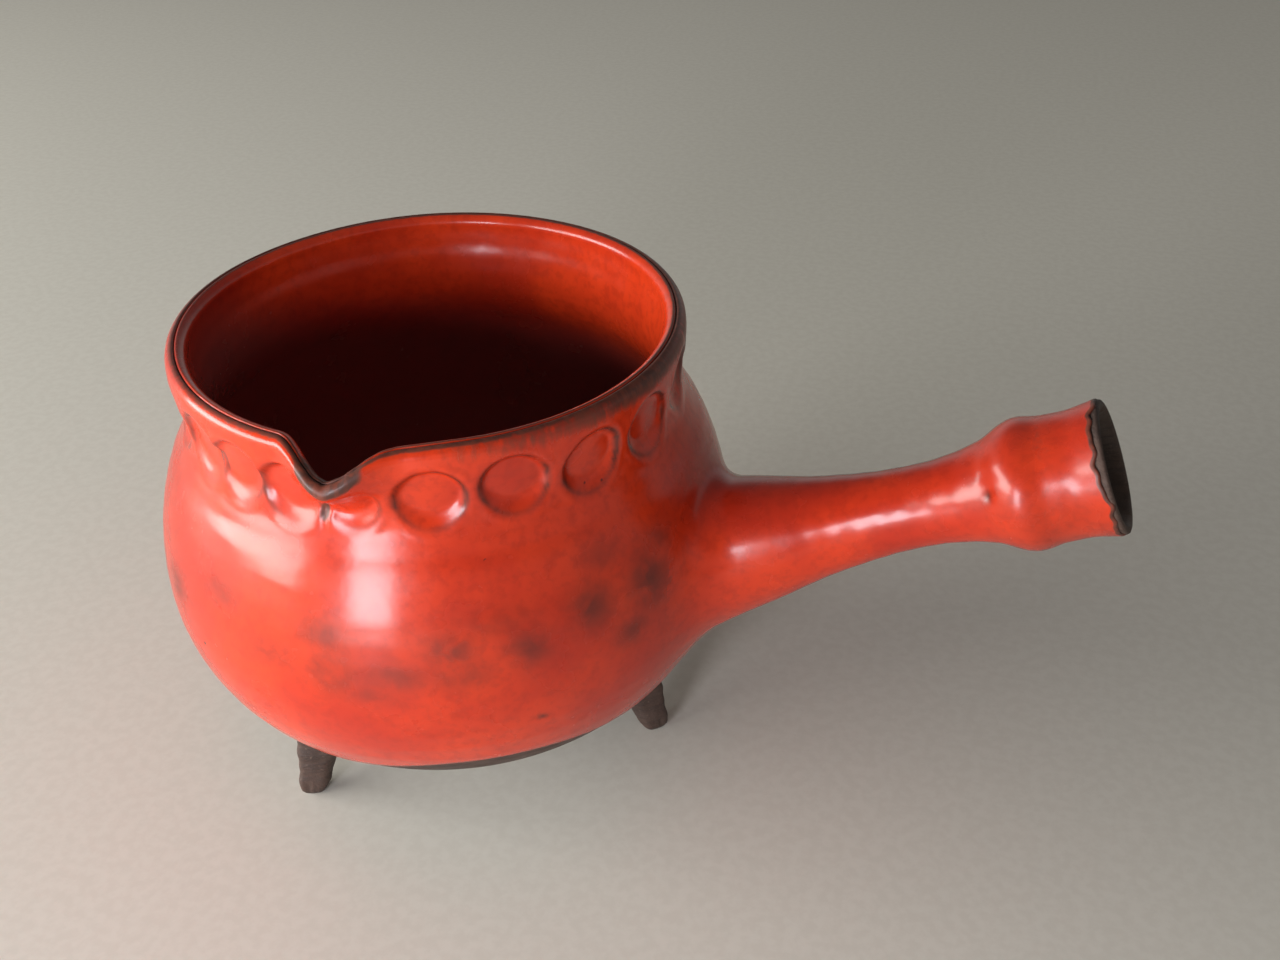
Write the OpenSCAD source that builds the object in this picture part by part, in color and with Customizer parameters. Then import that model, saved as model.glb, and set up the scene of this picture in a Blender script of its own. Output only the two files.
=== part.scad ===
// Tripod pouring pot for melting wax: a round-bellied stoneware bowl on three small
// feet, with a pouring lip, a ring of thumb presses round its neck and a hollow handle
// that slopes up to an open, flared end.
// The bowl, the handle and the feet are clay pieces that are joined face to face, and
// each glaze coat is a thin shell on the clay that it covers.
// Frame: +Z up, +X towards the open end of the handle. The origin is the centre of the
// overall length and width, on the surface that the feet stand on.

/* [Bowl] */
// Height of the rim above the surface that the pot stands on
pot_h = 131; // [129:0.5:136]
// Clay radius of the rim
rim_r = 64.4; // [64:0.1:65]
// Clay radius of the neck, at its narrowest
waist_r = 63.3; // [63.2:0.1:63.8]
// Clay radius of the belly, at its widest
belly_r = 76.7; // [75.5:0.1:76.8]
// Height of the widest part of the belly
belly_z = 66; // [62:0.5:66]
// Height of the underside of the bowl
base_z = 16; // [13:0.5:18]
// Thickness of the clay wall
wall_t = 5; // [4.5:0.1:5.5]
// Radius of the arc from the belly up to the shoulder
shoulder_arc_r = 75; // [72:0.5:75]
// Height of the neck at its narrowest
neck_z = 117; // [117:0.5:118]
// Radius of the hollow curve of the neck
neck_arc_r = 26; // [22:0.5:26]

/* [Pouring lip] */
// Direction of the lip round the bowl, from +X
lip_turn = -84; // [-90:1:-78]
// How far the lip leans out past the rim
lip_reach = 7; // [5:0.5:8]
// Clay radius of the lip's trough at the rim
lip_trough_r = 13; // [12:0.5:14]
// How far the lip dips below the rim
lip_dip = 6; // [4:0.5:7]

/* [Thumb presses] */
// Number of presses round the neck
press_count = 20; // [16:1:20]
// Height of their centres
press_z = 117; // [115:0.5:118]
// Depth of each press
press_depth = 2.3; // [1.5:0.1:2.5]
// Radius of the ball that presses them
press_ball_r = 13; // [11:0.5:14]
// Turn of the first press round the bowl, from +X
press_turn = 4.5; // [0:0.5:9]

/* [Handle] */
// Slope of the handle above level
handle_rise = 24; // [21:0.5:25]
// Height at which the handle's axis would meet the bowl's
handle_axis_z = 37; // [35:0.5:38]
// Distance from the bowl's axis to the handle's open end, along the slope
handle_reach = 185.5; // [182:0.5:190]
// Clay radius where the handle is thinnest
grip_r = 9.9; // [9.5:0.1:10.5]
// Clay radius of the swelling near the open end
swell_r = 15.6; // [15.2:0.1:16.2]
// Clay radius of the open end
mouth_r = 16; // [15.6:0.1:16.6]
// Radius of the straight socket inside the open end
socket_r = 11; // [10:0.1:11.5]
// Length of the straight socket
socket_len = 24; // [20:0.5:26]

/* [Feet] */
// Distance from the bowl's axis to the middle of each toe
foot_pitch_r = 57; // [55:0.5:59]
// Radius of the rounded toe
toe_r = 3.4; // [3:0.1:3.8]
// Radius of the foot where it meets the bowl
foot_top_r = 8.5; // [7.5:0.1:9]

/* [Glaze] */
// Thickness of the glaze coats
coat_t = 0.6; // [0.4:0.1:0.8]
// Height at which the outside glaze stops above the bare base
glaze_z = 38; // [34:0.5:42]
// Height of the bare clay left along the rim and the lip
rim_bare = 3; // [2.8:0.1:4]
// Length of the bare clay ring at the handle's open end
mouth_bare = 5; // [3:0.5:7]

/* [Hidden] */

$fn = 96;
slack = 20;
clay = "#4d3a34";
glaze = "#d4411f";
deep_glaze = "#a52c1a";

// The belly is two arcs that share a level tangent at belly_z.
low_arc_r = belly_z - base_z;
low_arc_x = belly_r - low_arc_r;
shoulder_arc_x = belly_r - shoulder_arc_r;
// The neck's arc is centred outside the pot, just clear of the shoulder's arc.
neck_arc_x = waist_r + neck_arc_r;
rim_bead_r = wall_t / 2;
rim_bead_z = pot_h - rim_bead_r;

// The lip's trough is a cone that leans out; its foot is buried in the wall.
trough_h = 27;
trough_foot_r = 8;
trough_foot_x = 54;
trough_top_x = rim_r + lip_reach - lip_trough_r;
trough_lean = atan2(trough_top_x - trough_foot_x, trough_h);
trough_len = trough_h / cos(trough_lean);
dip_r = 16;

// The clay surface under a press, from which the press is sunk.
press_wall_r = neck_arc_x - sqrt(pow(neck_arc_r, 2) - pow(neck_z - press_z, 2));
press_ball_x = press_wall_r + press_ball_r - press_depth;

// Stations along the handle, as distance along its axis and clay radius.
handle_stations = [
    [50, 30],
    [68, 23.1],
    [82, 19],
    [98, 15.6],
    [115, 11.9],
    [134, grip_r],
    [146, grip_r + 0.4],
    [156, swell_r - 3.4],
    [handle_reach - 21, swell_r],
    [handle_reach - 14, swell_r - 0.9],
    [handle_reach - 7, mouth_r - 1.3],
    [handle_reach, mouth_r]
];
spline_steps = 4;
cavity_root_r = 12;
cavity_grip_r = 6.4;
mouth_flare = 2.5;
socket_end = handle_reach - 4;
socket_start = socket_end - socket_len;

// Each foot leans in from its toe to the curve of the base.
foot_top_x = 49;
foot_top_z = 28;
toe_z = toe_r - 0.8;
foot_lean = atan2(foot_pitch_r - foot_top_x, foot_top_z - toe_z);
foot_len = (foot_top_z - toe_z) / cos(foot_lean);

// The bowl's axis stands this far from the origin, so that the origin is central.
handle_end_x = handle_reach * cos(handle_rise) + mouth_r * sin(handle_rise);
bowl_x = (belly_r + coat_t - handle_end_x) / 2;

// A point on a Catmull-Rom curve between p1 and p2.
function spline_point(p0, p1, p2, p3, t) =
    0.5 * (2 * p1 + (p2 - p0) * t + (2 * p0 - 5 * p1 + 4 * p2 - p3) * t * t
        + (3 * p1 - p0 - 3 * p2 + p3) * t * t * t);

function smooth_line(p, last) = [
    for (i = [0 : last - 1], k = [0 : spline_steps - 1])
        spline_point(p[max(i - 1, 0)], p[i], p[i + 1], p[min(i + 2, last)],
            k / spline_steps),
    p[last]
];

// Half of the bowl's outline up to a height, grown by t.
module bowl_outline(t, top_z) {
    difference() {
        union() {
            translate([0, base_z - t]) square([low_arc_x, low_arc_r + t]);
            intersection() {
                translate([low_arc_x, belly_z]) circle(low_arc_r + t);
                translate([0, base_z - slack]) square([belly_r + slack, low_arc_r + slack]);
            }
            intersection() {
                translate([shoulder_arc_x, belly_z]) circle(shoulder_arc_r + t);
                translate([0, belly_z]) square([belly_r + slack, neck_z - belly_z]);
            }
            translate([0, belly_z - slack]) square([rim_r + t, top_z - belly_z + slack]);
        }
        translate([neck_arc_x, neck_z]) circle(neck_arc_r - t);
    }
}

// The leaning cone of the lip's trough, grown by t; it runs on above the rim.
module lip_trough(t) {
    rotate([0, 0, lip_turn])
        translate([trough_foot_x, 0, pot_h - trough_h])
            rotate([0, trough_lean, 0])
                cylinder(h = 2 * trough_len, r1 = trough_foot_r + t,
                    r2 = 2 * lip_trough_r - trough_foot_r + t);
}

// What is taken away above the lip, a little wider by t.
module lip_dip_cut(t) {
    rotate([0, 0, lip_turn])
        translate([rim_r - slack / 2, 0, pot_h - lip_dip + dip_r - t])
            rotate([0, 90, 0]) cylinder(h = 2 * slack, r = dip_r);
}

module thumb_presses(t) {
    for (i = [0 : press_count - 1])
        rotate([0, 0, press_turn + i * 360 / press_count])
            translate([press_ball_x, 0, press_z]) sphere(press_ball_r - t);
}

// The bowl's outer form as a solid plug, grown by t.
module bowl_plug(t) {
    difference() {
        union() {
            rotate_extrude() bowl_outline(t, rim_bead_z);
            difference() {
                lip_trough(t);
                slab(rim_bead_z, pot_h + 2 * slack);
            }
        }
        thumb_presses(t);
    }
}

// The space inside the bowl, made smaller by t.
module bowl_hollow(t) {
    rotate_extrude() bowl_outline(-wall_t - t, pot_h + slack);
    lip_trough(-wall_t - t);
}

module slab(low_z, high_z) {
    translate([-2 * belly_r, -2 * belly_r, low_z])
        cube([4 * belly_r, 4 * belly_r, high_z - low_z]);
}

module on_handle_axis() {
    translate([0, 0, handle_axis_z]) rotate([0, 90 - handle_rise, 0]) children();
}

// The handle's outer form, grown by t and ended at a distance along its axis.
module handle_plug(t, end_s) {
    line = smooth_line(handle_stations, len(handle_stations) - 1);
    on_handle_axis()
        intersection() {
            rotate_extrude()
                polygon([
                    [0, line[0][0]],
                    for (p = line) [p[1] + t, p[0]],
                    [0, handle_reach]
                ]);
            cylinder(h = end_s, r = handle_stations[0][1] + slack);
        }
}

module handle_cavity() {
    on_handle_axis()
        rotate_extrude()
            polygon([
                [0, handle_stations[0][0]],
                [cavity_root_r, handle_stations[0][0]],
                [cavity_root_r, handle_stations[3][0]],
                [cavity_grip_r, handle_stations[4][0]],
                [cavity_grip_r, handle_stations[6][0]],
                [socket_r, socket_start],
                [socket_r, socket_end],
                [socket_r + mouth_flare, handle_reach + 1],
                [0, handle_reach + 1]
            ]);
}

module bowl() {
    color(clay) translate([bowl_x, 0, 0])
        difference() {
            union() {
                bowl_plug(0);
                rotate_extrude() translate([rim_r - rim_bead_r, rim_bead_z]) circle(rim_bead_r);
            }
            bowl_hollow(0);
            lip_dip_cut(0);
        }
}

module handle() {
    color(clay) translate([bowl_x, 0, 0])
        difference() {
            handle_plug(0, handle_reach);
            handle_cavity();
            bowl_plug(0);
        }
}

module foot(turn) {
    color(clay) translate([bowl_x, 0, 0]) rotate([0, 0, turn])
        difference() {
            translate([foot_pitch_r, 0, toe_z]) {
                sphere(toe_r);
                rotate([0, -foot_lean, 0]) cylinder(h = foot_len, r1 = toe_r, r2 = foot_top_r);
            }
            slab(-slack, 0);
            bowl_plug(0);
        }
}

module foot_under_handle() {
    foot(0);
}

module foot_near_lip() {
    foot(-120);
}

module foot_far_side() {
    foot(120);
}

module glaze_outside() {
    color(glaze) translate([bowl_x, 0, 0])
        difference() {
            bowl_plug(coat_t);
            bowl_plug(0);
            slab(-slack, glaze_z);
            slab(pot_h - rim_bare, pot_h + slack);
            lip_dip_cut(rim_bare);
            handle_plug(0, handle_reach);
        }
}

module glaze_inside() {
    color(deep_glaze) translate([bowl_x, 0, 0])
        difference() {
            bowl_hollow(0);
            bowl_hollow(coat_t);
            slab(pot_h - rim_bare, pot_h + 2 * slack);
            lip_dip_cut(rim_bare);
        }
}

module glaze_handle() {
    color(glaze) translate([bowl_x, 0, 0])
        difference() {
            handle_plug(coat_t, handle_reach - mouth_bare);
            handle_plug(0, handle_reach);
            bowl_plug(coat_t);
        }
}

bowl();
handle();
foot_under_handle();
foot_near_lip();
foot_far_side();
glaze_outside();
glaze_inside();
glaze_handle();
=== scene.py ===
import math

import bpy
import numpy as np
from mathutils import Matrix, Vector


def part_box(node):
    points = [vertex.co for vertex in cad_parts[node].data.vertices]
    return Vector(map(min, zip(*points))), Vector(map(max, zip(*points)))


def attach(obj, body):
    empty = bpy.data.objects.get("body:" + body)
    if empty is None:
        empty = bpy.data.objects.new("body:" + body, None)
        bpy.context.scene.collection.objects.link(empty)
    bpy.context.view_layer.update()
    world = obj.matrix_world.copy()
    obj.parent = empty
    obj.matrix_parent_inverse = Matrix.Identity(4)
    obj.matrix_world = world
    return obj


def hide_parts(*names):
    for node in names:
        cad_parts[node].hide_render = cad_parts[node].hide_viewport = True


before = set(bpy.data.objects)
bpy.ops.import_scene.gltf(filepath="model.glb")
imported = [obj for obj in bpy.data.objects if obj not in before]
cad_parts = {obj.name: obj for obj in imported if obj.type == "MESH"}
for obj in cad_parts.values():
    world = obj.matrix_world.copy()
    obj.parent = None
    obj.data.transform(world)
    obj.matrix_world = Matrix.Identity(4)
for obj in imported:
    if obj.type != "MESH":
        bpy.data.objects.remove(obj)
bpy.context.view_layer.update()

# A red-glazed stoneware melting pot: a thrown bowl with thumb presses and a pulled lip,
# a thrown hollow handle luted to its side, and three pulled feet.
MM = 0.001

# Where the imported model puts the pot: the bowl's axis and the line of the handle. The bowl
# reaches as far from its axis towards -X as it does towards +Y.
bowl_low, bowl_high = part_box("bowl")
BOWL_X = (bowl_low.x + bowl_high.y) / MM
HANDLE_Z = 37.0
HANDLE_RISE = math.radians(24.0)

# The bowl's outside, from two sweeps of the potter's rib, in millimetres.
BASE_Z = 16.0
BELLY_Z = 66.0
LOW_SWEEP, LOW_SWEEP_X = 50.0, 26.7
HIGH_SWEEP, HIGH_SWEEP_X = 75.0, 1.7
SWEEP_END_Z = 98.0
COLLAR = [(92.0, 72.05), (98.0, 69.56), (104.0, 66.25), (108.5, 64.25), (113.0, 63.45), (118.0, 63.75),
          (122.5, 64.45), (127.0, 64.75), (131.0, 64.5), (135.0, 64.2)]
WALL = 5.0
CREST_Z = 128.3
CREST_R = 2.05
CREST_TOP = 130.9
COAT = 0.6
COAT_BITE = 0.25

# The handle's clay, as (distance along its axis, radius), and the stretch that fans out onto the bowl.
HANDLE_STATIONS = [(40, 29.0), (50, 27.0), (60, 25.0), (68, 22.8), (82, 19.0), (98, 15.6), (115, 11.9),
                   (134, 9.9), (146, 10.3), (156, 12.2), (164.5, 15.6), (171.5, 14.7), (178.5, 14.7),
                   (185.5, 16.0)]
ROOT_START = 72.0
ROOT_END = 112.0
COAT_END = 183.5

# How many steps each piece is turned in.
BODY_STEPS = 480
OUTSIDE_COAT_STEPS = 600
INSIDE_COAT_STEPS = 480
HANDLE_COAT_STEPS = 216
HANDLE_STEPS = 192

# The lip, the presses and the waves of the glaze.
LIP_TURN = -85.2
LIP_DROP = 6.4
LIP_REACH = 6.3
PRESS_Z = 117.0
PRESS_DEEP = 1.8
PRESS_HALF_WIDTH = 8.9
PRESS_HALF_HEIGHT = 8.9
NECK_RADIUS = 64.0
NICK_TURN = -89.6
NICK_Z = 112.6
PRESS_TURNS = [-67.4, -50.2, -32.4, -14.2, 4.6, 22.5, 40.8, 58.6, 76.9, 95.0, 113.2, 131.0, 149.3,
               167.2, 184.8, 202.8, 219.6, 236.6, 249.2, 263.5, 275.6]


# ---------------------------------------------------------------- the potter's measures

def smooth(edge, other, value):
    """0 at edge, 1 at other, easy at both ends."""
    t = np.clip((value - edge) / (other - edge), 0.0, 1.0)
    return t * t * (3.0 - 2.0 * t)


def flow(stations, at):
    """A smooth line through stations of (place, size)."""
    place = np.array([s[0] for s in stations])
    size = np.array([s[1] for s in stations])
    slope = np.gradient(size, place)
    at = np.clip(at, place[0], place[-1])
    k = np.clip(np.searchsorted(place, at) - 1, 0, len(place) - 2)
    gap = place[k + 1] - place[k]
    t = (at - place[k]) / gap
    return ((2 * t**3 - 3 * t**2 + 1) * size[k] + (t**3 - 2 * t**2 + t) * gap * slope[k]
            + (-2 * t**3 + 3 * t**2) * size[k + 1] + (t**3 - t**2) * gap * slope[k + 1])


def wall_radius(height):
    """The clay's outside radius at a height."""
    height = np.asarray(height, float)
    low = LOW_SWEEP_X + np.sqrt(np.maximum(LOW_SWEEP**2 - (height - BELLY_Z)**2, 0.0))
    high = HIGH_SWEEP_X + np.sqrt(np.maximum(HIGH_SWEEP**2 - (height - BELLY_Z)**2, 0.0))
    collar = flow(COLLAR, height)
    return np.where(height < BELLY_Z, low, np.where(height < SWEEP_END_Z, high, collar))


def wall_thick(height):
    """The clay wall thins towards the rim."""
    return WALL - (WALL - 2.0 * CREST_R) * smooth(104.0, CREST_Z, np.asarray(height, float))


def apart(turn, mark):
    """How far a turn is from a mark, in degrees, the short way round."""
    return (turn - mark + 180.0) % 360.0 - 180.0


def hump(turn, mark, wide):
    """A soft swell round the pot: 1 at the mark, fading over a width in degrees."""
    return np.exp(-(apart(turn, mark) / wide)**2)


def spot(turn, place, mark, level, wide, high):
    """A soft spot: 1 at a turn and a level, fading over a width in degrees and a height in mm."""
    return np.exp(-(apart(turn, mark) / wide)**2 - ((place - level) / high)**2)


def finger_nick(turn, height, wide, high):
    """The slanting nick that a fingernail left below the lip."""
    off = apart(turn, NICK_TURN)
    return np.exp(-(off / wide)**2 - ((height - NICK_Z - 0.8 * off) / high)**2)


def ripple(turn, waves, seed):
    """A slow uneven wave round the pot, from about -1 to 1."""
    a = np.radians(turn)
    total = np.zeros_like(a)
    for i, n in enumerate(waves):
        total = total + np.sin(n * a + seed * (i + 1.7)) / (1.0 + 0.35 * i)
    return total / (1.0 + 0.35 * len(waves))


def thumb_presses(turn, height):
    """How deep the thumb went, the mark of its rim, and how near that rim is."""
    deep = np.zeros_like(turn)
    rim = np.zeros_like(turn)
    edge = np.zeros_like(turn)
    near = np.abs(height - PRESS_Z) < 14.0
    for n, mark in enumerate(PRESS_TURNS):
        across = np.radians(apart(turn, mark)) * NECK_RADIUS
        tilt = 0.10 * math.sin(n * 2.3)
        up = height - PRESS_Z - 0.7 * math.sin(n * 1.9)
        across = across + tilt * up
        wide = PRESS_HALF_WIDTH * (1.0 + 0.06 * math.sin(n * 3.1))
        rho = np.sqrt((across / wide)**2 + (up / PRESS_HALF_HEIGHT)**2) + 1e-6
        crisp = 0.72 - 0.28 * smooth(0.15, -0.95, up / PRESS_HALF_HEIGHT / rho)
        dish = (1.0 - smooth(crisp, 1.0, rho)) * (0.80 + 0.20 * np.minimum(rho, 1.0)**2)
        strength = 1.0 + 0.16 * math.sin(n * 1.3 + 0.6)
        deep = np.maximum(deep, np.where(near, dish * strength, 0.0))
        rim = np.maximum(rim, np.where(near, np.exp(-((rho - 1.10) / 0.075)**2), 0.0))
        flank = np.abs(across / wide) / rho * smooth(-1.0, -0.1, up / PRESS_HALF_HEIGHT)
        side = np.clip(0.40 + 0.75 * flank + 0.35 * np.maximum(up / PRESS_HALF_HEIGHT, 0.0), 0.0, 1.0)
        edge = np.maximum(edge, np.where(near, np.exp(-((rho - 0.90) / 0.072)**2) * side, 0.0))
    return deep, rim, edge


def lip_pull(turn):
    """How far round the lip a turn is: how much of the drop and of the reach it takes."""
    a = apart(turn, LIP_TURN)
    left = smooth(-12.8, -0.4, a)**1.2
    right = 0.80 * (1.0 - smooth(-1.6, 10.5, a))**1.1 + 0.20 * (1.0 - smooth(4.0, 24.0, a))
    drop = np.where(a < -1.0, left, np.minimum(left, right))
    reach = smooth(-14.0, -0.6, a) * (1.0 - smooth(-0.6, 14.5, a))
    return drop, reach**1.15


def hand_finish(turn, radius, height, inner):
    """Moves points of the true turned form as the potter's hands did. inner is 1 on the inside wall."""
    deep, rim, edge = thumb_presses(turn, height)
    drop, reach = lip_pull(turn)
    pulled = smooth(107.0, 131.0, height)
    calm = 1.0 - 0.85 * reach * smooth(108.0, 124.0, height)
    push = PRESS_DEEP * deep * calm * (1.0 - 0.97 * inner) - 0.12 * rim * calm * (1.0 - inner)
    wobble = 0.22 * ripple(turn, (2, 3, 5), 1.3) + 0.16 * ripple(turn + 0.9 * height, (3, 4), 2.1) - 0.20
    rings = 0.035 * np.sin(height * 1.15 + 0.7 * ripple(turn, (1, 2), 0.4))
    settle = smooth(BASE_Z, BASE_Z + 8.0, height)
    nick = 1.3 * finger_nick(turn, height, 0.9, 2.4) * (1.0 - inner)
    radius = radius + (wobble + rings) * settle - push - nick
    radius = radius + LIP_REACH * reach * pulled**1.7
    notch = 0.28 * np.abs(np.sin(np.radians(turn) * 62.0)) * reach * smooth(127.0, 130.5, height)
    wave = 0.22 * (ripple(turn, (2, 3, 5), 4.4) - 0.9) * smooth(112.0, 131.0, height)
    height = height - LIP_DROP * drop * smooth(108.0, 130.0, height)**1.35 - notch + wave
    return radius, height, edge * calm, reach * pulled


def handle_radius(along):
    """The clay radius of the handle at a distance along its axis."""
    return flow(HANDLE_STATIONS, along)


def soft_union(a, b, reach):
    """The lower of two distances, blended as a finger smears clay into the corner."""
    h = np.clip(0.5 + 0.5 * (b - a) / reach, 0.0, 1.0)
    return b * (1.0 - h) + a * h - reach * h * (1.0 - h)


def to_wall(x, y, z, thick):
    """Distance out from the finished bowl wall, grown by thick. Points are in mm from the bowl's axis."""
    turn = np.degrees(np.arctan2(y, x))
    radius = np.hypot(x, y)
    wall, _, _, _ = hand_finish(turn, wall_radius(z), z, np.zeros_like(z))
    slope = wall_radius(z + 0.5) - wall_radius(z - 0.5)
    return (radius - wall) / np.sqrt(1.0 + slope**2) - thick


# ---------------------------------------------------------------- the wheel and the bench

def deselect():
    """Lets go of everything, since an operator acts on all that is selected."""
    bpy.ops.object.select_all(action="DESELECT")


def turn_piece(name, outline, steps, centre=(0.0, 0.0, 0.0), axis=(0.0, 0.0, 1.0)):
    """Draws an outline point by point and spins it round the axis. Points are in metres."""
    deselect()
    bpy.ops.mesh.primitive_plane_add(size=0.002, location=(0.0, 0.0, 0.0))
    piece = bpy.context.object
    piece.name = name
    piece.data.name = name
    bpy.ops.object.mode_set(mode="EDIT")
    bpy.ops.mesh.select_all(action="SELECT")
    bpy.ops.mesh.merge(type="CENTER")
    bpy.ops.transform.translate(value=outline[0])
    for here, there in zip(outline, outline[1:]):
        step = tuple(b - a for a, b in zip(here, there))
        bpy.ops.mesh.extrude_region_move(TRANSFORM_OT_translate={"value": step})
    bpy.ops.mesh.select_all(action="SELECT")
    bpy.ops.mesh.spin(steps=steps, angle=math.tau, center=centre, axis=axis)
    bpy.ops.mesh.select_all(action="SELECT")
    bpy.ops.mesh.remove_doubles(threshold=0.00002)
    bpy.ops.mesh.normals_make_consistent(inside=False)
    bpy.ops.object.mode_set(mode="OBJECT")
    return piece


def points_of(piece):
    """The piece's points in millimetres, one row each."""
    spots = np.zeros(len(piece.data.vertices) * 3)
    piece.data.vertices.foreach_get("co", spots)
    return spots.reshape(-1, 3) / MM


def set_points(piece, spots):
    """Moves the piece's points to these places, in millimetres."""
    piece.data.vertices.foreach_set("co", (spots * MM).ravel())
    piece.data.update()


def paint_on(piece, name, values):
    """Keeps a value for every point, which the finish reads."""
    layer = piece.data.attributes.new(name, "FLOAT", "POINT")
    layer.data.foreach_set("value", np.clip(values, 0.0, 1.0).astype(np.float32))


def finish_piece(piece, material, slot_name, *nodes):
    """Gives a piece its finish, smooths it and puts it in place of its plain nodes."""
    piece.data.materials.clear()
    piece.data.materials.append(material)
    deselect()
    piece.select_set(True)
    bpy.context.view_layer.objects.active = piece
    bpy.ops.object.shade_smooth()
    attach(piece, "root")
    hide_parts(*nodes)


def clay_skin(z_values, offset):
    """Outline points of the outside, offset outwards, as (radius, height)."""
    z = np.asarray(z_values, float)
    r = wall_radius(z)
    slope = wall_radius(z + 0.25) - wall_radius(z - 0.25)
    size = np.sqrt(0.25 + slope**2)
    away = np.broadcast_to(offset, z.shape)
    return [(ri + 0.5 / s * o, zi - d / s * o) for ri, zi, d, s, o in zip(r, z, slope, size, away)]


def spaced(low, high, step):
    """Heights or distances from low to high, about a step apart."""
    count = max(2, int(round(abs(high - low) / step)) + 1)
    return list(np.linspace(low, high, count))


def on_wheel(pairs):
    """Outline points given as (radius, height), laid over the X axis."""
    return [(p[0] * MM, 0.0, p[1] * MM) for p in pairs]


def crest(offset, first, last, count):
    """Points round the rim's crest, from an angle to another, in degrees from straight out."""
    centre = float(wall_radius(CREST_Z) - CREST_R)
    turns = np.radians(np.linspace(first, last, count))
    size = CREST_R + offset
    return [(centre + size * math.cos(a), CREST_Z + size * math.sin(a)) for a in turns]


def low_arc(depth, first, last, count):
    """Points on the belly's low sweep, this deep in the wall, from an angle to another below level."""
    sweep = LOW_SWEEP - depth
    turns = np.radians(np.linspace(first, last, count))
    return [(LOW_SWEEP_X + sweep * math.cos(a), BELLY_Z - sweep * math.sin(a)) for a in turns]


def above(line, point):
    """The points of a line that clear another line's end."""
    return [p for p in line if p[1] > point[1] + 0.8]


# ---------------------------------------------------------------- finishes

def new_material(name):
    """A new finish, with its tree and its shader."""
    material = bpy.data.materials.new(name)
    material.use_nodes = True
    tree = material.node_tree
    shader = next(n for n in tree.nodes if n.type == "BSDF_PRINCIPLED")
    return material, tree, shader


def noise(tree, where, scale, detail, rough=0.55, distortion=0.0):
    """Soft cloudy variation, from 0 to 1."""
    made = tree.nodes.new("ShaderNodeTexNoise")
    made.inputs["Scale"].default_value = scale
    made.inputs["Detail"].default_value = detail
    made.inputs["Roughness"].default_value = rough
    made.inputs["Distortion"].default_value = distortion
    tree.links.new(where, made.inputs["Vector"])
    return made.outputs["Fac"]


def spread(tree, value, low, high, to_low=0.0, to_high=1.0):
    """Stretches a value's range from low to high over a new one, easy at both ends."""
    made = tree.nodes.new("ShaderNodeMapRange")
    made.interpolation_type = "SMOOTHSTEP"
    made.inputs["From Min"].default_value = low
    made.inputs["From Max"].default_value = high
    made.inputs["To Min"].default_value = to_low
    made.inputs["To Max"].default_value = to_high
    tree.links.new(value, made.inputs["Value"])
    return made.outputs["Result"]


def sums(tree, operation, first, second):
    """One step of arithmetic on two values."""
    made = tree.nodes.new("ShaderNodeMath")
    made.operation = operation
    for socket, value in zip(made.inputs, (first, second)):
        if isinstance(value, (int, float)):
            socket.default_value = value
        else:
            tree.links.new(value, socket)
    return made.outputs[0]


def blend_colour(tree, amount, first, second):
    """The first colour where amount is 0, the second where it is 1."""
    made = tree.nodes.new("ShaderNodeMix")
    made.data_type = "RGBA"
    made.clamp_factor = True
    tree.links.new(amount, made.inputs["Factor"])
    for socket, value in zip([s for s in made.inputs if s.type == "RGBA"], (first, second)):
        if isinstance(value, tuple):
            socket.default_value = (*value, 1.0)
        else:
            tree.links.new(value, socket)
    return next(s for s in made.outputs if s.type == "RGBA")


def pattern_space(tree, scale=(1.0, 1.0, 1.0)):
    """Places on the piece, centred on the bowl, for a pattern to read."""
    place = tree.nodes.new("ShaderNodeTexCoord")
    mapping = tree.nodes.new("ShaderNodeMapping")
    mapping.inputs["Scale"].default_value = scale
    mapping.inputs["Location"].default_value = (-BOWL_X * MM * scale[0], 0.0, 0.0)
    tree.links.new(place.outputs["Object"], mapping.inputs["Vector"])
    return mapping.outputs["Vector"]


def painted(tree, name):
    """A value that was painted on the piece."""
    made = tree.nodes.new("ShaderNodeAttribute")
    made.attribute_name = name
    return made.outputs["Fac"]


def times(tree, first, second):
    """Two values multiplied."""
    return sums(tree, "MULTIPLY", first, second)


def plus(tree, first, second):
    """Two values added."""
    return sums(tree, "ADD", first, second)


def raise_relief(tree, shader, height, strength, distance):
    """Lets a value stand out as fine relief. The distance is in metres."""
    bump = tree.nodes.new("ShaderNodeBump")
    bump.inputs["Strength"].default_value = strength
    bump.inputs["Distance"].default_value = distance
    tree.links.new(height, bump.inputs["Height"])
    tree.links.new(bump.outputs["Normal"], shader.inputs["Normal"])


# Colours of the fired glaze and clay, and of the painted shade in the handle's hollow.
IRON_SMUDGE = (0.085, 0.017, 0.012)
PRESS_LINE = (0.072, 0.019, 0.013)
DARK_BREAK = (0.078, 0.023, 0.014)
RED_BREAK = (0.170, 0.037, 0.019)
PIT_COLOUR = (0.030, 0.012, 0.010)
SOCKET_SHADE = (0.012, 0.007, 0.005)


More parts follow.
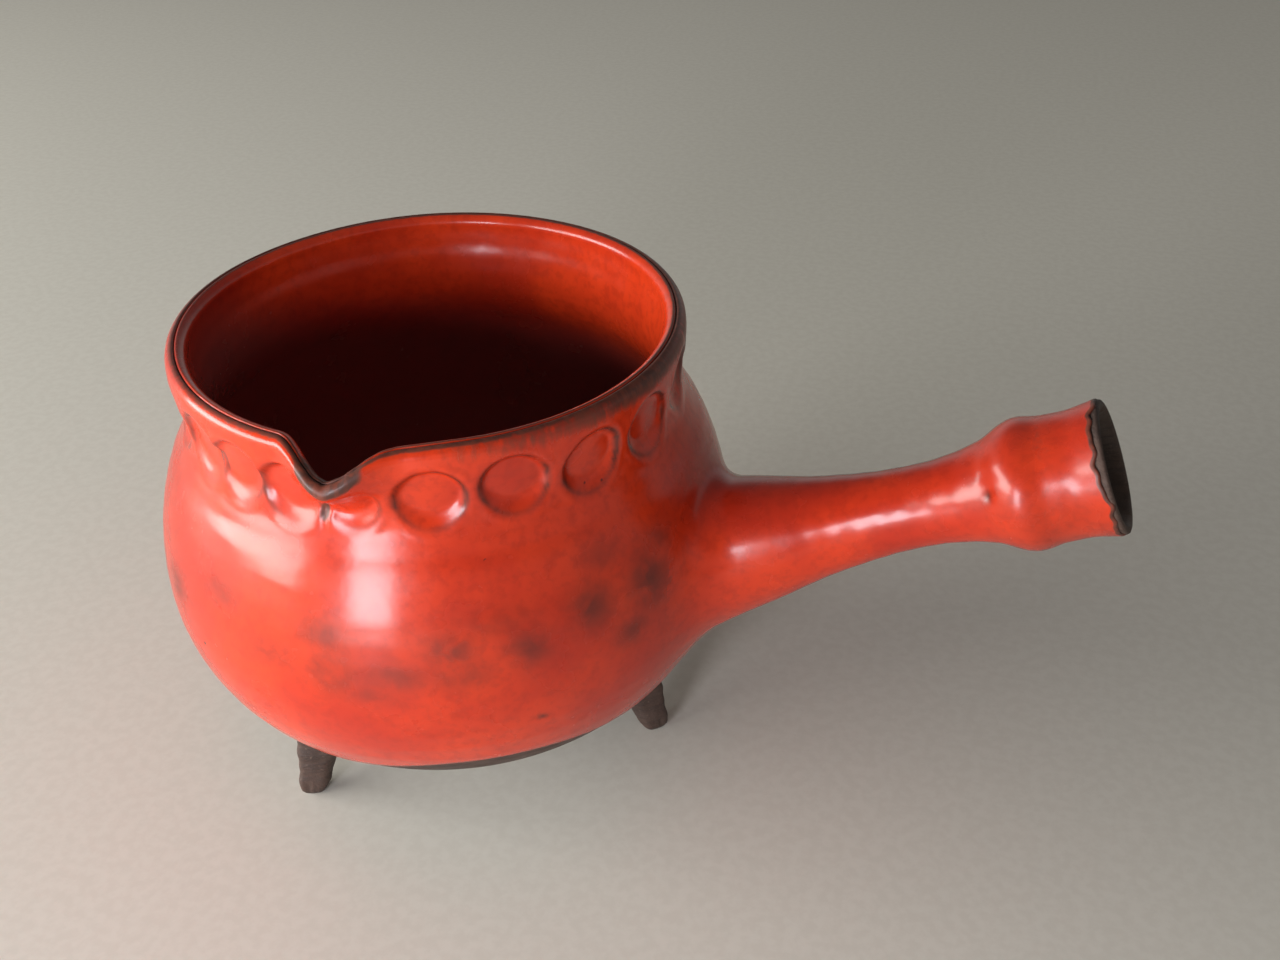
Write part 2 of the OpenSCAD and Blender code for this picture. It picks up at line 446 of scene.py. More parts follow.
def glaze_finish(name, bright, deep, painted_shade_colour=None):
    """Iron-red gloss glaze: it pools deeper in places and breaks to brown where it is thin. Given a shade
    colour, it also darkens towards that colour as painted shade where the piece's painted deep value is high.
    """
    material, tree, shader = new_material(name)
    here = pattern_space(tree)
    tall = pattern_space(tree, (1.0, 1.0, 0.22))

    mottle = spread(tree, noise(tree, here, 28.0, 4.0), 0.36, 0.66)
    colour = blend_colour(tree, mottle, bright, deep)
    fine = spread(tree, noise(tree, here, 420.0, 3.0), 0.42, 0.70, 0.0, 0.35)
    colour = blend_colour(tree, fine, colour, tuple(c * 0.72 for c in deep))

    blotch = spread(tree, noise(tree, here, 120.0, 4.0, 0.55, 0.4), 0.26, 0.56, 0.34, 1.0)
    smear = times(tree, painted(tree, "smudge"), blotch)
    colour = blend_colour(tree, times(tree, smear, 0.82), colour, IRON_SMUDGE)

    uneven = spread(tree, noise(tree, here, 210.0, 3.0, 0.5), 0.22, 0.60, 0.45, 1.0)
    ring = times(tree, painted(tree, "pressed"), uneven)
    colour = blend_colour(tree, times(tree, ring, 0.92), colour, PRESS_LINE)

    streaks = noise(tree, tall, 520.0, 4.0, 0.6)
    feather = times(tree, sums(tree, "SUBTRACT", streaks, 0.5), 0.75)
    thin = plus(tree, painted(tree, "thin"), feather)
    thin = spread(tree, thin, 0.22, 0.72)
    thin = times(tree, thin, spread(tree, painted(tree, "thin"), 0.02, 0.16))
    broken = blend_colour(tree, spread(tree, streaks, 0.40, 0.62), DARK_BREAK, RED_BREAK)
    colour = blend_colour(tree, thin, colour, broken)

    # Painted shade: the inside darkens low down and up the inner wall around turn -165 degrees, where the
    # rim's shadow falls.
    if painted_shade_colour:
        colour = blend_colour(tree, times(tree, painted(tree, "deep"), 0.90), colour, painted_shade_colour)

    cells = tree.nodes.new("ShaderNodeTexVoronoi")
    cells.inputs["Scale"].default_value = 260.0
    tree.links.new(here, cells.inputs["Vector"])
    pick = spread(tree, noise(tree, here, 95.0, 1.0), 0.735, 0.750)
    speck = times(tree, spread(tree, cells.outputs["Distance"], 0.17, 0.08), pick)
    colour = blend_colour(tree, speck, colour, PIT_COLOUR)
    tree.links.new(colour, shader.inputs["Base Color"])

    rough = spread(tree, noise(tree, here, 60.0, 4.0), 0.35, 0.70, 0.20, 0.29)
    rough = plus(tree, rough, times(tree, thin, 0.24))
    rough = plus(tree, rough, times(tree, smear, 0.10))
    tree.links.new(rough, shader.inputs["Roughness"])

    orange_skin = times(tree, noise(tree, here, 170.0, 2.0), 0.9)
    peel = plus(tree, orange_skin, times(tree, noise(tree, here, 900.0, 2.0), 0.10))
    peel = plus(tree, peel, times(tree, streaks, times(tree, thin, 0.6)))
    peel = sums(tree, "SUBTRACT", peel, times(tree, speck, 0.9))
    raise_relief(tree, shader, peel, 0.22, 0.00035)
    shader.inputs["IOR"].default_value = 1.47
    shader.inputs["Coat Weight"].default_value = 0.14
    shader.inputs["Coat Roughness"].default_value = 0.13
    return material


def clay_finish(name):
    """Dark brown iron-bearing stoneware, bare and dry, with fine grog and wheel lines, and painted shade
    inside the handle's hollow.
    """
    material, tree, shader = new_material(name)
    here = pattern_space(tree)
    flat = pattern_space(tree, (0.16, 0.16, 1.0))

    colour = blend_colour(tree, spread(tree, noise(tree, here, 45.0, 5.0), 0.36, 0.66),
                          (0.090, 0.052, 0.037), (0.048, 0.029, 0.023))
    lines = spread(tree, noise(tree, flat, 900.0, 3.0), 0.42, 0.68)
    colour = blend_colour(tree, times(tree, lines, 0.5), colour, (0.036, 0.021, 0.017))
    grog = spread(tree, noise(tree, here, 1500.0, 2.0), 0.66, 0.72)
    colour = blend_colour(tree, times(tree, grog, 0.55), colour, (0.20, 0.135, 0.095))
    # Painted shade: the clay darkens inside the handle's hollow.
    colour = blend_colour(tree, times(tree, painted(tree, "hollow"), 0.85), colour, SOCKET_SHADE)
    tree.links.new(colour, shader.inputs["Base Color"])

    rough = spread(tree, noise(tree, here, 160.0, 3.0), 0.35, 0.7, 0.58, 0.82)
    tree.links.new(rough, shader.inputs["Roughness"])

    grain = plus(tree, times(tree, lines, 0.5), noise(tree, here, 1100.0, 3.0))
    raise_relief(tree, shader, grain, 0.55, 0.0003)
    return material


red_glaze = glaze_finish("red_gloss_glaze", (0.695, 0.044, 0.0085), (0.505, 0.025, 0.0072))
# The inside glaze carries painted shade: its shade colour darkens the deep inside and the inner wall around
# turn -165 degrees.
inside_glaze = glaze_finish("inside_red_glaze", (0.720, 0.050, 0.0105), (0.510, 0.029, 0.0085),
                            painted_shade_colour=(0.210, 0.064, 0.060))
bare_clay = clay_finish("bare_brown_clay")


# ---------------------------------------------------------------- the bowl

def glaze_edge(turn):
    """How far the outside glaze's lower edge stands above or below its mean height."""
    high = 5.0 * hump(turn, -60.0, 26.0) + 2.5 * hump(turn, 70.0, 40.0)
    low = 3.5 * hump(turn, -118.0, 24.0) + 5.5 * hump(turn, 0.0, 17.0)
    return high - low + 0.6 * ripple(turn, (5, 7, 11, 17), 0.9)


def shape_bowl(piece, wavy=False):
    """Gives a turned piece of the bowl its presses, lip and wobble. wavy moves the glaze's lower edge."""
    spots = points_of(piece)
    turn = np.degrees(np.arctan2(spots[:, 1], spots[:, 0]))
    radius = np.hypot(spots[:, 0], spots[:, 1])
    height = spots[:, 2].copy()
    if wavy:
        inner = np.zeros_like(radius)
        offset = radius - wall_radius(height)
        height = height + glaze_edge(turn) * (1.0 - smooth(38.0, 62.0, height))
        radius = wall_radius(height) + offset
    else:
        depth = wall_radius(np.minimum(height, CREST_TOP)) - radius
        inner = np.where(height < BASE_Z + 1.0, 0.0, smooth(1.2, 3.4, depth))
    radius, finished, edge, pulled = hand_finish(turn, radius, height, inner)
    angle = np.radians(turn)
    set_points(piece, np.stack([radius * np.cos(angle) + BOWL_X, radius * np.sin(angle), finished], 1))
    return turn, height, edge, pulled


def make_bowl_body():
    """The clay: outside, crest, inside, floor and the flat of the base, in one outline."""
    outside = clay_skin(spaced(18.5, 38.0, 1.3) + spaced(39.5, 104.0, 2.2) + spaced(105.0, CREST_Z, 0.8), 0.0)
    outside = [p for p in outside if p[0] > 38.5]
    low_inside = low_arc(WALL, 45.0, 90.0, 16)
    inner_z = spaced(CREST_Z, 104.0, 1.0) + spaced(101.0, 36.0, 2.6)
    inside = above(clay_skin(inner_z, -wall_thick(inner_z)), low_inside[0])
    floor_z = low_inside[-1][1]
    base = [(r, BASE_Z) for r in (0.0, 6.0, 12.0, 18.0, 23.0, 27.0, 30.0, 32.6)]
    base_turn = [(35.6, 16.3), (37.6, 17.3)]
    floor = [(r, floor_z) for r in (22.0, 16.0, 10.0, 5.0, 0.0)]
    line = base + base_turn + outside + crest(0.0, 8.0, 172.0, 12) + inside + low_inside + floor
    body = turn_piece("bowl_body", on_wheel(line), BODY_STEPS)
    shape_bowl(body)
    finish_piece(body, bare_clay, "bare_clay", "bowl")


def outside_thinness(turn, height, pulled):
    """Where the outside glaze runs thin and breaks brown, and the painted shade in the finger nick."""
    front = smooth(-78.0, -46.0, apart(turn, 0.0)) * (1.0 - smooth(120.0, 170.0, apart(turn, 0.0)))
    crest_line = 0.72 * smooth(129.9, 130.7, height) * (1.0 - 0.25 * hump(turn, -135.0, 36.0))
    band = smooth(123.5, 129.0, height) * (0.14 + 0.46 * front + 0.14 * ripple(turn, (3, 5, 8), 1.1))
    lip_band = smooth(0.30, 0.75, pulled) * smooth(125.4, 129.0, height) * 1.1
    skirt = 0.55 * (1.0 - smooth(0.0, 1.6, height - 38.0 - glaze_edge(turn)))
    handle_side = 0.55 * hump(turn, 12.0, 20.0) * smooth(104.0, 118.0, height)
    # Painted shade: the finger nick is painted dark as shade in its hollow.
    nick = 1.1 * finger_nick(turn, height, 1.2, 2.8)
    return np.maximum.reduce([crest_line, band, lip_band, skirt, handle_side, nick])


# Small pits in the outside glaze, as (turn, height, width in degrees, height).
PITS = [(-51.6, 58.5, 1.0, 0.8), (20.0, 71.0, 0.9, 0.8), (128.0, 62.0, 1.0, 0.7)]

# Iron smudges round the belly on the lip's side, as (turn, height, width in degrees, height, strength).
SMUDGES = [(-107, 94, 4, 3, 0.30), (-112, 87, 5, 5, 0.45), (-102, 77.5, 7, 4.5, 0.50),
           (-89, 85.5, 5, 4, 0.80), (-87.6, 76, 4.5, 5.5, 0.85), (-81, 71, 5, 3.5, 0.50),
           (-76.5, 76, 6, 4, 0.70), (-66.6, 82.5, 4.5, 4.5, 0.90), (-64.7, 76, 6, 4, 0.65),
           (-58, 88, 8, 4, 0.45), (-52.8, 80, 4.5, 5, 0.90), (-40.2, 85, 5, 6, 1.0),
           (-36, 95.5, 5, 4, 0.55), (-32.4, 74, 4, 4, 0.80), (-26.7, 84, 5.5, 8, 1.0),
           (-22.3, 92, 6, 4, 0.65), (-12, 84, 5, 5, 0.70)]
BACK_SMUDGES = 14


def outside_smudges(turn, height):
    """The smudges by the lip, and a looser row of them round the rest of the belly."""
    smudge = np.zeros_like(turn)
    for mark, level, wide, high, strength in SMUDGES:
        smudge = np.maximum(smudge, strength * spot(turn, height, mark, level, wide, high))
    for k in range(BACK_SMUDGES):
        mark = 30.0 + 15.5 * k + 4.0 * math.sin(k * 2.7)
        level = 80.0 + 6.0 * math.sin(k * 1.9)
        strength = 0.75 + 0.2 * math.sin(k * 3.1)
        smudge = np.maximum(smudge, strength * spot(turn, height, mark, level, 4.5 + math.sin(k), 4.5))
    return smudge


def make_outside_coat():
    """The outside glaze: a rolled lower edge, the wall, and a thin edge near the crest."""
    skin_z = spaced(38.4, 50.0, 1.2) + spaced(51.6, 102.0, 1.6) + spaced(103.0, CREST_Z, 0.62)
    roll = [(float(wall_radius(z)) + out, level)
            for z, out, level in ((37.7, -0.15, 37.7), (37.6, 0.25, 37.55), (37.8, 0.62, 37.9))]
    over_crest = crest(COAT, 6.0, 74.0, 9) + crest(0.40, 82.0, 82.0, 1) + crest(-0.2, 84.0, 84.0, 1)
    back = clay_skin(spaced(CREST_Z, 104.0, 1.25) + spaced(100.0, 40.0, 5.0), -COAT_BITE)
    line = roll + clay_skin(skin_z, COAT) + over_crest + crest(-0.3, 50.0, 10.0, 3) + back
    coat = turn_piece("outside_glaze_coat", on_wheel(line + [line[0]]), OUTSIDE_COAT_STEPS)
    turn, height, edge, pulled = shape_bowl(coat, wavy=True)

    pressed = edge * (0.90 + 0.18 * ripple(turn, (4, 7, 9), 3.3) + 0.45 * hump(turn, -24.0, 26.0))
    for mark, level, wide, high in PITS:
        pressed = np.maximum(pressed, 1.1 * spot(turn, height, mark, level, wide, high))
    paint_on(coat, "thin", outside_thinness(turn, height, pulled))
    paint_on(coat, "pressed", pressed)
    paint_on(coat, "smudge", outside_smudges(turn, height))
    finish_piece(coat, red_glaze, "red_glaze", "glaze_outside")


def make_inside_coat():
    """The inside glaze: over the crest, down the wall and across the floor."""
    low_back = low_arc(WALL - 0.3, 90.0, 46.0, 10)
    back_z = spaced(38.0, 104.0, 4.0) + spaced(105.0, CREST_Z, 1.4)
    back = above(clay_skin(back_z, 0.3 - wall_thick(back_z)), low_back[-1])
    back_floor = [(r, low_back[0][1]) for r in (0.0, 8.0, 16.0, 22.0)]
    over_crest = crest(-0.3, 168.0, 96.0, 5) + crest(0.35, 91.0, 91.0, 1) + crest(COAT, 98.0, 172.0, 10)
    low_lining = low_arc(WALL + COAT, 45.0, 90.0, 22)
    lining_z = spaced(CREST_Z, 104.0, 0.8) + spaced(102.0, 36.0, 1.9)
    lining = above(clay_skin(lining_z, -wall_thick(lining_z) - COAT), low_lining[0])
    floor = [(r, low_lining[-1][1]) for r in (24.0, 20.0, 16.0, 12.0, 8.0, 4.0, 0.0)]
    line = back_floor + low_back + back + over_crest + lining + low_lining + floor
    coat = turn_piece("inside_glaze_coat", on_wheel(line), INSIDE_COAT_STEPS)
    turn, height, _, pulled = shape_bowl(coat)

    crest_line = 0.75 * smooth(130.55, 130.95, height) * (1.0 - 0.6 * hump(turn, -135.0, 36.0))
    lip_line = smooth(0.35, 0.8, pulled) * smooth(127.0, 130.0, height)
    # Painted shade: the deep value darkens the inside below a line near 80 to 104 mm, which climbs by up to
    # 32 mm around turn -165, where the rim's shadow falls.
    shadow_rise = 32.0 * hump(turn, -165.0, 58.0)
    shade_height = height - shadow_rise + 3.0 * ripple(turn, (2, 3, 5), 1.9)
    paint_on(coat, "thin", np.maximum(crest_line, lip_line))
    paint_on(coat, "smudge", np.zeros_like(turn))
    paint_on(coat, "pressed", np.zeros_like(turn))
    paint_on(coat, "deep", 1.0 - smooth(80.0, 104.0, shade_height))
    finish_piece(coat, inside_glaze, "inside_glaze", "glaze_inside")


make_bowl_body()
make_outside_coat()
make_inside_coat()


# ---------------------------------------------------------------- the handle

AXIS = np.array([math.cos(HANDLE_RISE), 0.0, math.sin(HANDLE_RISE)])
SIDE = np.array([0.0, 1.0, 0.0])
CROWN = np.array([-math.sin(HANDLE_RISE), 0.0, math.cos(HANDLE_RISE)])
HANDLE_START = np.array([BOWL_X, 0.0, HANDLE_Z])
HANDLE_FOOT = (BOWL_X * MM, 0.0, HANDLE_Z * MM)


def on_handle(pairs):
    """Outline points given as (distance along the handle, radius), laid on the handle's crown side."""
    return [(BOWL_X * MM + (s * AXIS[0] + r * CROWN[0]) * MM, 0.0,
             (HANDLE_Z + s * AXIS[2] + r * CROWN[2]) * MM) for s, r in pairs]


def handle_skin(places, offset):
    """Outline points along the handle, offset outwards, as (distance along it, radius)."""
    return [(s, float(handle_radius(s)) + offset) for s in places]


def turn_on_handle(name, pairs, steps):
    """A piece turned on the handle's own axis."""
    return turn_piece(name, on_handle(pairs), steps, centre=HANDLE_FOOT, axis=tuple(AXIS))


def handle_place(piece):
    """Each point's distance along the handle, radius, and angle from the crown."""
    spots = points_of(piece) - HANDLE_START
    up = spots @ CROWN
    across = spots @ SIDE
    return spots @ AXIS, np.hypot(up, across), np.degrees(np.arctan2(across, up))


def from_handle(along, radius, angle):
    """Points in mm from their distance along the handle, radius, and angle from the crown."""
    up = radius * np.cos(np.radians(angle))
    across = radius * np.sin(np.radians(angle))
    return (along[:, None] * AXIS + up[:, None] * CROWN + across[:, None] * SIDE) + HANDLE_START


def handle_dress(along, angle):
    """The hand's small unevenness on the handle, in mm of radius."""
    rings = 0.030 * np.sin(along * 0.95 + 0.5 * np.sin(np.radians(angle)))
    swirl = 0.14 * np.sin(np.radians(angle * 2.0) + along * 0.11) - 0.14
    knuckle = 0.55 * spot(angle, along, 118.0, 161.0, 16.0, 2.6)
    knuckle = knuckle + 0.40 * spot(angle, along, 75.0, 163.5, 14.0, 2.2)
    dents = 0.35 * spot(angle, along, 100.0, 156.5, 20.0, 2.2)
    dents = dents + 0.30 * spot(angle, along, 60.0, 174.0, 22.0, 2.4)
    dents = dents + 0.45 * spot(angle, along, -63.0, 158.5, 6.0, 1.1)
    return (rings + swirl) * smooth(95.0, 120.0, along) + knuckle - dents


# How many times the search for the joined skin halves its reach.
HALVINGS = 24


def blended_skin(along, angle, thick):
    """The joined skin of bowl and handle. Rings nearer the bowl than ROOT_END fan out onto the wall."""
    a = np.radians(angle)
    out = np.cos(a)[:, None] * CROWN + np.sin(a)[:, None] * SIDE
    t = np.clip((ROOT_END - along) / (ROOT_END - ROOT_START), 0.0, 1.0)
    end_s = 75.5 + 12.5 * np.cos(a)
    end_r = 27.5 + 5.0 * np.sin(a)**2
    mid_s = end_s + 3.0
    mid_r = handle_radius(mid_s) - 1.0
    s = (1 - t)**2 * ROOT_END + 2 * t * (1 - t) * mid_s + t**2 * end_s
    r = (1 - t)**2 * float(handle_radius(ROOT_END)) + 2 * t * (1 - t) * mid_r + t**2 * end_r
    lean = np.radians(66.0) * smooth(0.0, 1.0, t)
    first = s[:, None] * AXIS + r[:, None] * out + np.array([0.0, 0.0, HANDLE_Z])
    ray = np.cos(lean)[:, None] * out + np.sin(lean)[:, None] * AXIS
    reach = 5.5 + 6.0 * np.sin(a)**2 - 1.5 * (1.0 - np.cos(a))

    def gap_at(far):
        """How far outside the joined skin the points are, this far along their rays."""
        p = first + far[:, None] * ray
        wall = to_wall(p[:, 0], p[:, 1], p[:, 2], thick)
        q = p - np.array([0.0, 0.0, HANDLE_Z])
        place = q @ AXIS
        width = np.hypot(q @ CROWN, q @ SIDE)
        slope = handle_radius(place + 0.5) - handle_radius(place - 0.5)
        grip = (width - handle_radius(place) - handle_dress(place, angle)) / np.sqrt(1.0 + slope**2) - thick
        return soft_union(wall, grip, reach)

    near = np.full(t.shape, -9.0)
    far = np.full(t.shape, 12.0)
    for _ in range(HALVINGS):
        middle = 0.5 * (near + far)
        inside = gap_at(middle) < 0.0
        near = np.where(inside, middle, near)
        far = np.where(inside, far, middle)
    return first + near[:, None] * ray + np.array([BOWL_X, 0.0, 0.0])


def ragged_edge(angle):
    """How far the handle glaze's dry end runs on or falls short, from about -1 to 1."""
    ragged = np.zeros_like(angle)
    for size, waves, lead in ((0.6, 3, 40), (0.4, 7, 10), (0.3, 15, 0), (0.25, 23, 60)):
        ragged = ragged + size * np.sin(np.radians(waves * angle + lead))
    return 0.8 * ragged


def make_handle_coat():
    """The handle's glaze, from the joint to a ragged edge short of the end."""
    root_s = spaced(ROOT_START, ROOT_END, 0.62)
    coat_line = handle_skin(root_s + spaced(ROOT_END + 0.9, 150.0, 1.1) + spaced(151.0, COAT_END, 0.75), COAT)
    coat_edge = handle_skin([COAT_END + 0.5], 0.40) + handle_skin([COAT_END + 0.6], -0.1)
    back_s = spaced(COAT_END - 0.5, 114.0, 2.6) + spaced(ROOT_END - 0.5, ROOT_START, 2.0)
    line = coat_line + coat_edge + handle_skin(back_s, -COAT_BITE) + [coat_line[0]]
    coat = turn_on_handle("handle_glaze_coat", line, HANDLE_COAT_STEPS)

    along, radius, angle = handle_place(coat)
    ragged = ragged_edge(angle)
    offset = radius - handle_radius(along)
    under_side = offset < 0.1
    along = along + ragged * smooth(171.0, COAT_END, along)
    set_points(coat, from_handle(along, handle_radius(along) + offset, angle))
    along, radius, angle = handle_place(coat)
    set_points(coat, from_handle(along, radius + handle_dress(along, angle), angle))

    spots = points_of(coat)
    root = along < ROOT_END - 0.3
    over = COAT - 0.25 * (1.0 - smooth(ROOT_START, ROOT_START + 2.5, along))
    thick = np.where(under_side, -COAT_BITE, over)
    spots[root] = blended_skin(along[root], angle[root], thick[root])
    set_points(coat, spots)

    dry_end = 1.0 - smooth(0.0, 1.0, COAT_END + ragged - along)
    paint_on(coat, "thin", np.maximum(dry_end, 0.30 * np.exp(-((along - 171.5) / 3.0)**2)))
    smudge = 0.8 * spot(angle, along, 40.0, 166.0, 12.0, 2.2)
    paint_on(coat, "smudge", np.maximum(smudge, 0.26 * smooth(148.0, 162.0, along)))
    paint_on(coat, "pressed", spot(angle, along, -63.0, 158.5, 5.5, 0.9))
    finish_piece(coat, red_glaze, "red_glaze", "glaze_handle")


# The handle's flared mouth, then its socket and hollow, as (distance along it, radius).
HANDLE_MOUTH = [(184.6, 15.95), (185.2, 15.75), (185.5, 15.2), (185.4, 14.5), (184.8, 13.9), (183.6, 13.3)]
HANDLE_HOLLOW = [(182.2, 12.4), (181.4, 11.5), (180.6, 11.05), (178.0, 11.0), (174.0, 11.05), (170.0, 11.0),
                 (166.0, 11.0), (162.0, 11.0), (158.2, 11.0), (157.5, 10.6), (156.6, 9.4), (152.0, 8.2),
                 (146.0, 7.0), (138.0, 6.4), (128.0, 6.8), (118.0, 8.6), (108.0, 10.6), (100.0, 11.6),
                 (95.0, 11.0), (92.0, 8.0), (91.0, 4.0), (91.0, 0.0)]
BURIED_RINGS = 20
BURIED_STEP = 2.0
BURIED_END = (74.0, 0.0, 67.0)


def grow_root(body, first_s):
    """Draws the first ring on in steps towards the bowl and closes it, under the glaze."""
    deselect()
    body.select_set(True)
    bpy.context.view_layer.objects.active = body
    along, radius, _ = handle_place(body)
    ring = (np.abs(along - first_s) < 0.2) & (radius > 10.5)
    for v, chosen in zip(body.data.vertices, ring):
        v.select = bool(chosen)
    for e in body.data.edges:
        e.select = bool(ring[e.vertices[0]] and ring[e.vertices[1]])
    for f in body.data.polygons:
        f.select = False
    bpy.ops.object.mode_set(mode="EDIT")
    bpy.ops.mesh.select_mode(type="EDGE")
    step = tuple(-BURIED_STEP * MM * a for a in AXIS)
    for _ in range(BURIED_RINGS):
        bpy.ops.mesh.extrude_region_move(TRANSFORM_OT_translate={"value": step})
    bpy.ops.mesh.edge_face_add()
    bpy.ops.mesh.poke()
    bpy.ops.mesh.select_all(action="SELECT")
    bpy.ops.mesh.normals_make_consistent(inside=False)
    bpy.ops.mesh.select_mode(type="VERT")
    bpy.ops.object.mode_set(mode="OBJECT")


def make_handle_body():
    """The handle's clay: outside, flared mouth, socket and hollow, closed at both ends."""
    body_s = spaced(ROOT_END + 1.0, 150.0, 2.0) + spaced(151.5, 183.6, 1.2)
    line = handle_skin(body_s, 0.0) + HANDLE_MOUTH + HANDLE_HOLLOW
    body = turn_on_handle("handle_body", line, HANDLE_STEPS)
    grow_root(body, body_s[0])

    along, radius, angle = handle_place(body)
    cavity = (radius < handle_radius(along) - 1.5) | (along > 183.9)
    dressed = radius + np.where(cavity, 0.0, handle_dress(along, angle))
    spots = np.where(cavity[:, None], points_of(body), from_handle(along, dressed, angle))
    root = (along < ROOT_END) & (radius > 11.9)
    sunk = -0.1 - 2.2 * (1.0 - smooth(73.0, 80.0, along[root]))
    spots[root] = blended_skin(along[root], angle[root], sunk)
    closing_point = (radius < 1.0) & (along < 80.0)
    spots[closing_point] = np.array([BOWL_X, 0.0, 0.0]) + BURIED_END
    set_points(body, spots)
    # Painted shade in the handle's hollow: none at the mouth, full from 5 mm inside.
    paint_on(body, "hollow", np.where(cavity, smooth(185.0, 180.0, along), 0.0))
    finish_piece(body, bare_clay, "bare_clay", "handle")


make_handle_coat()
make_handle_body()


# ---------------------------------------------------------------- the feet

# How far each foot's toe stands from the bowl's axis, and how many sides and rings it has.
FOOT_PITCH = 57.0
FOOT_SIDES = 72
FOOT_RINGS = 34
FOOT_LEAN = 0.30

# Ring by ring, the foot's height and its radius, in mm.
FOOT_LEVELS = [(0, 0.0), (1, 0.35), (2, 1.1), (3, 2.1), (4, 3.2), (28, 25.0), (34, 30.0)]
FOOT_WIDTHS = [(0, 1.7), (1, 2.5), (2, 3.1), (3, 3.6), (4, 4.0), (10, 4.9), (18, 5.9), (26, 6.9), (34, 8.5)]


def pull_foot(name, node_name, turn_of_foot):
    """One pulled foot, made under the wall at the +X side and then carried round to its place."""
    deselect()
    bpy.ops.mesh.primitive_circle_add(vertices=FOOT_SIDES, radius=2.2 * MM, location=(0.0, 0.0, 0.0),
                                      fill_type="NGON")
    foot = bpy.context.object
    foot.name = name
    foot.data.name = name
    bpy.ops.object.mode_set(mode="EDIT")
    bpy.ops.mesh.select_all(action="SELECT")
    bpy.ops.mesh.poke()
    bpy.ops.mesh.select_all(action="DESELECT")
    bpy.ops.object.mode_set(mode="OBJECT")
    for e in foot.data.edges:
        ends = [foot.data.vertices[k].co.length for k in e.vertices]
        e.select = min(ends) > 1.5 * MM
    bpy.ops.object.mode_set(mode="EDIT")
    bpy.ops.mesh.select_mode(type="EDGE")
    for _ in range(FOOT_RINGS):
        bpy.ops.mesh.extrude_region_move(TRANSFORM_OT_translate={"value": (0.0, 0.0, 1.0 * MM)})
    bpy.ops.mesh.edge_face_add()
    bpy.ops.mesh.select_all(action="SELECT")
    bpy.ops.mesh.normals_make_consistent(inside=False)
    bpy.ops.mesh.select_mode(type="VERT")
    bpy.ops.object.mode_set(mode="OBJECT")

    spots = points_of(foot)
    angle = np.degrees(np.arctan2(spots[:, 1], spots[:, 0]))
    ring = np.round(spots[:, 2])
    middle = np.hypot(spots[:, 0], spots[:, 1]) < 1.0
    level = flow(FOOT_LEVELS, ring)
    ridge = 0.20 * hump(angle, 0.0, 17.0) - 0.12 * hump(angle, 55.0, 26.0)
    ridge = ridge - 0.12 * hump(angle, -55.0, 26.0)
    dents = 0.16 * spot(angle, level, 24.0, 3.4, 13.0, 1.8)
    dents = dents + 0.16 * spot(angle, level, -24.0, 3.2, 13.0, 1.8)
    lumps = 0.025 * np.sin(np.radians(3 * angle) + level * 0.5)
    lumps = lumps + 0.02 * np.sin(level * 1.3 + np.radians(angle))
    width = flow(FOOT_WIDTHS, ring) * (1.0 + ridge - dents + lumps * smooth(0.5, 3.0, level))
    a = np.radians(angle)
    lean_in = -FOOT_LEAN * np.maximum(level - 2.6, 0.0)

    def foot_point(z, r):
        """A point of the foot at a height, this far from the foot's own middle."""
        return FOOT_PITCH + lean_in + r * np.cos(a), r * np.sin(a), z

    # A ring high on the foot is smeared out onto the wall.
    x, y, z = foot_point(level, width)
    under = to_wall(x, y, np.maximum(z, BASE_Z + 1.0), 0.0)
    flare = width + 2.2 * smooth(-6.0, 0.0, -under) * smooth(12.0, 24.0, level)
    x, y, z = foot_point(level, flare)
    wall_r = np.hypot(x, y)
    past = np.maximum(wall_r - LOW_SWEEP_X, 0.0)
    wall_z = BELLY_Z - np.sqrt(np.maximum((LOW_SWEEP - 1.2)**2 - past**2, 0.0))
    z = np.minimum(z, wall_z)
    z = np.where(ring > 31, wall_z, z)
    x = np.where(middle, FOOT_PITCH + lean_in, x)
    y = np.where(middle, 0.0, y)
    z = np.where(middle & (ring < 1), 0.15, z)
    t = math.radians(turn_of_foot)
    turned_x = x * math.cos(t) - y * math.sin(t) + BOWL_X
    turned_y = x * math.sin(t) + y * math.cos(t)
    set_points(foot, np.stack([turned_x, turned_y, z], 1))
    finish_piece(foot, bare_clay, "bare_clay", node_name)


pull_foot("foot_below_handle", "foot_under_handle", 0.0)
pull_foot("foot_by_lip", "foot_near_lip", -120.0)
pull_foot("foot_across", "foot_far_side", 120.0)


# ---------------------------------------------------------------- floor, light and camera

def lay_floor():
    """A pale matt floor under the pot."""
    deselect()
    bpy.ops.mesh.primitive_plane_add(size=3.6, location=(0.0, 0.0, 0.0))
    ground = bpy.context.object
    ground.name = "pale_floor"
    material, tree, shader = new_material("pale_matt_floor")
    here = tree.nodes.new("ShaderNodeTexCoord").outputs["Object"]
    cloud = spread(tree, noise(tree, here, 300.0, 4.0), 0.35, 0.65)
    tint = blend_colour(tree, cloud, (0.775, 0.745, 0.655), (0.812, 0.785, 0.695))
    tree.links.new(tint, shader.inputs["Base Color"])
    shader.inputs["Roughness"].default_value = 0.65
    ground.data.materials.append(material)


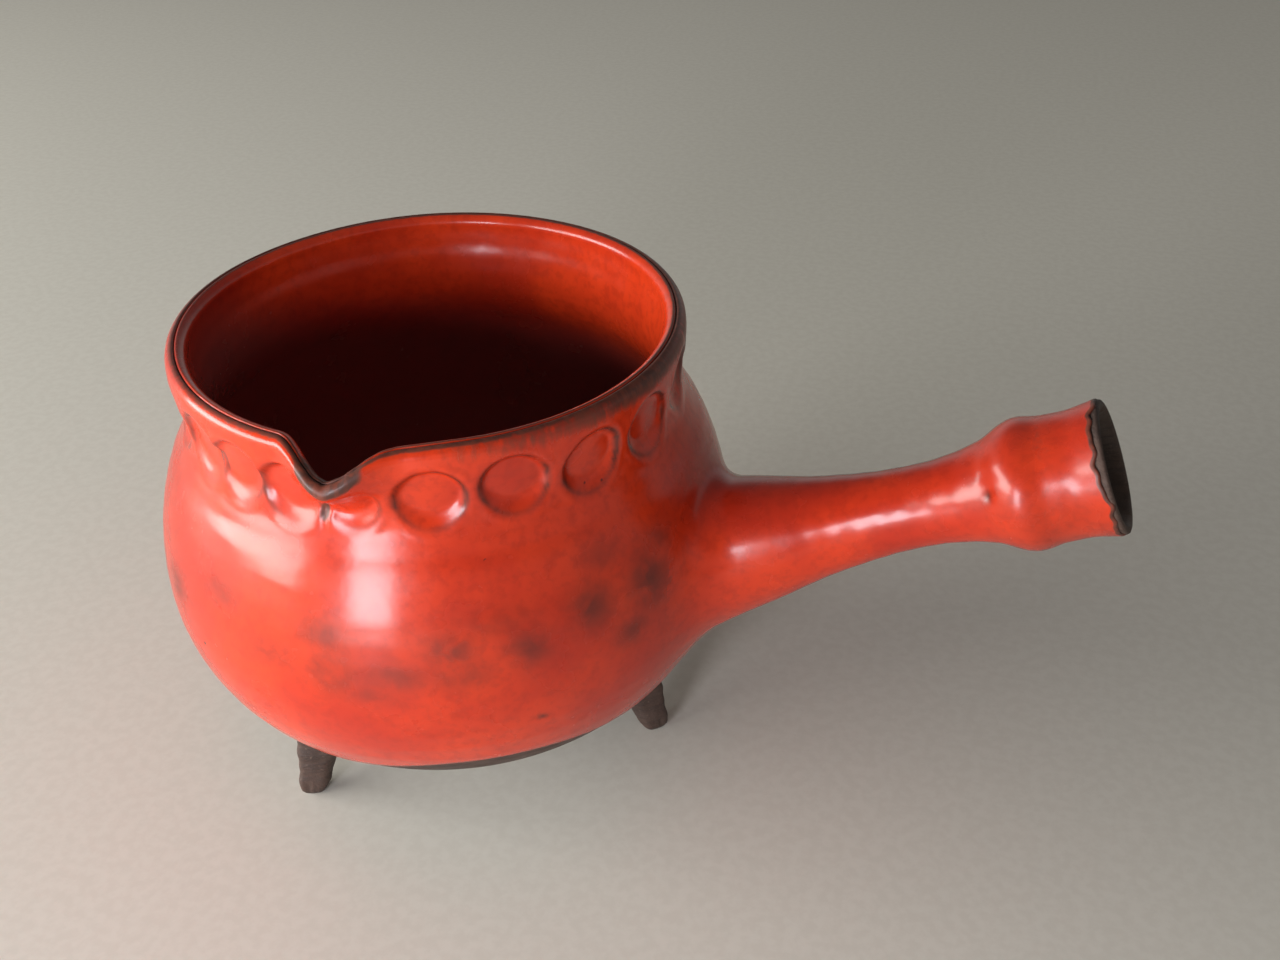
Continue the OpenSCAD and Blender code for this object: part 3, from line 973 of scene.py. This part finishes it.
def light_room():
    """A soft room: bright low down, more so on the windows' side, and dim overhead."""
    world = bpy.data.worlds.new("soft_room")
    bpy.context.scene.world = world
    world.use_nodes = True
    tree = world.node_tree
    background = next(n for n in tree.nodes if n.type == "BACKGROUND")
    sky = tree.nodes.new("ShaderNodeTexCoord")
    split = tree.nodes.new("ShaderNodeSeparateXYZ")
    tree.links.new(sky.outputs["Generated"], split.inputs["Vector"])
    window_side = spread(tree, split.outputs["X"], -0.75, 0.75, 0.62, 0.32)
    low_band = spread(tree, split.outputs["Z"], 0.18, 0.52, 0.0, 0.12)
    tree.links.new(window_side, low_band.node.inputs["To Min"])
    tree.links.new(low_band, background.inputs["Strength"])
    background.inputs["Color"].default_value = (1.0, 0.98, 0.94, 1.0)


def softbox(name, place, aim, wide, high, power, colour):
    """A flat soft light at a place, facing an aim point."""
    deselect()
    bpy.ops.object.light_add(type="AREA", location=place)
    lamp = bpy.context.object
    lamp.name = name
    lamp.data.shape = "RECTANGLE"
    lamp.data.size = wide
    lamp.data.size_y = high
    lamp.data.energy = power
    lamp.data.color = colour
    lamp.rotation_euler = (Vector(aim) - Vector(place)).to_track_quat("-Z", "Y").to_euler()
    lamp.visible_camera = False


def round_bowl(turn, far, height):
    """A place by its turn round the bowl, its distance and its height."""
    a = math.radians(turn)
    return (BOWL_X * MM + far * math.cos(a), far * math.sin(a), height)


def place_camera():
    """The viewing camera, a little above the rim on the lip's side, tilted by a touch."""
    place = Vector((0.0892, -0.2718, 0.2836))
    aim = Vector((-0.0202, 0.0833, 0.0286))
    tilt = math.radians(-1.33)
    deselect()
    bpy.ops.object.camera_add(location=place)
    camera = bpy.context.object
    camera.name = "viewing_camera"
    camera.data.sensor_width = 36.0
    camera.data.lens = 37.1
    camera.data.clip_start = 0.01
    facing = (aim - place).to_track_quat("-Z", "Y").to_matrix().to_4x4()
    camera.matrix_world = Matrix.Translation(place) @ facing @ Matrix.Rotation(tilt, 4, "Z")
    bpy.context.scene.camera = camera
    bpy.context.scene.view_settings.view_transform = "Standard"


lay_floor()
light_room()
bowl_middle = (BOWL_X * MM, 0.0, 0.080)
softbox("tall_window", round_bowl(-96.0, 0.62, 0.17), bowl_middle, 0.16, 0.30, 2.4, (0.93, 0.92, 1.0))
softbox("broad_window", round_bowl(-152.0, 1.30, 0.36), bowl_middle, 1.40, 0.50, 24.5, (0.98, 0.975, 0.95))
place_camera()
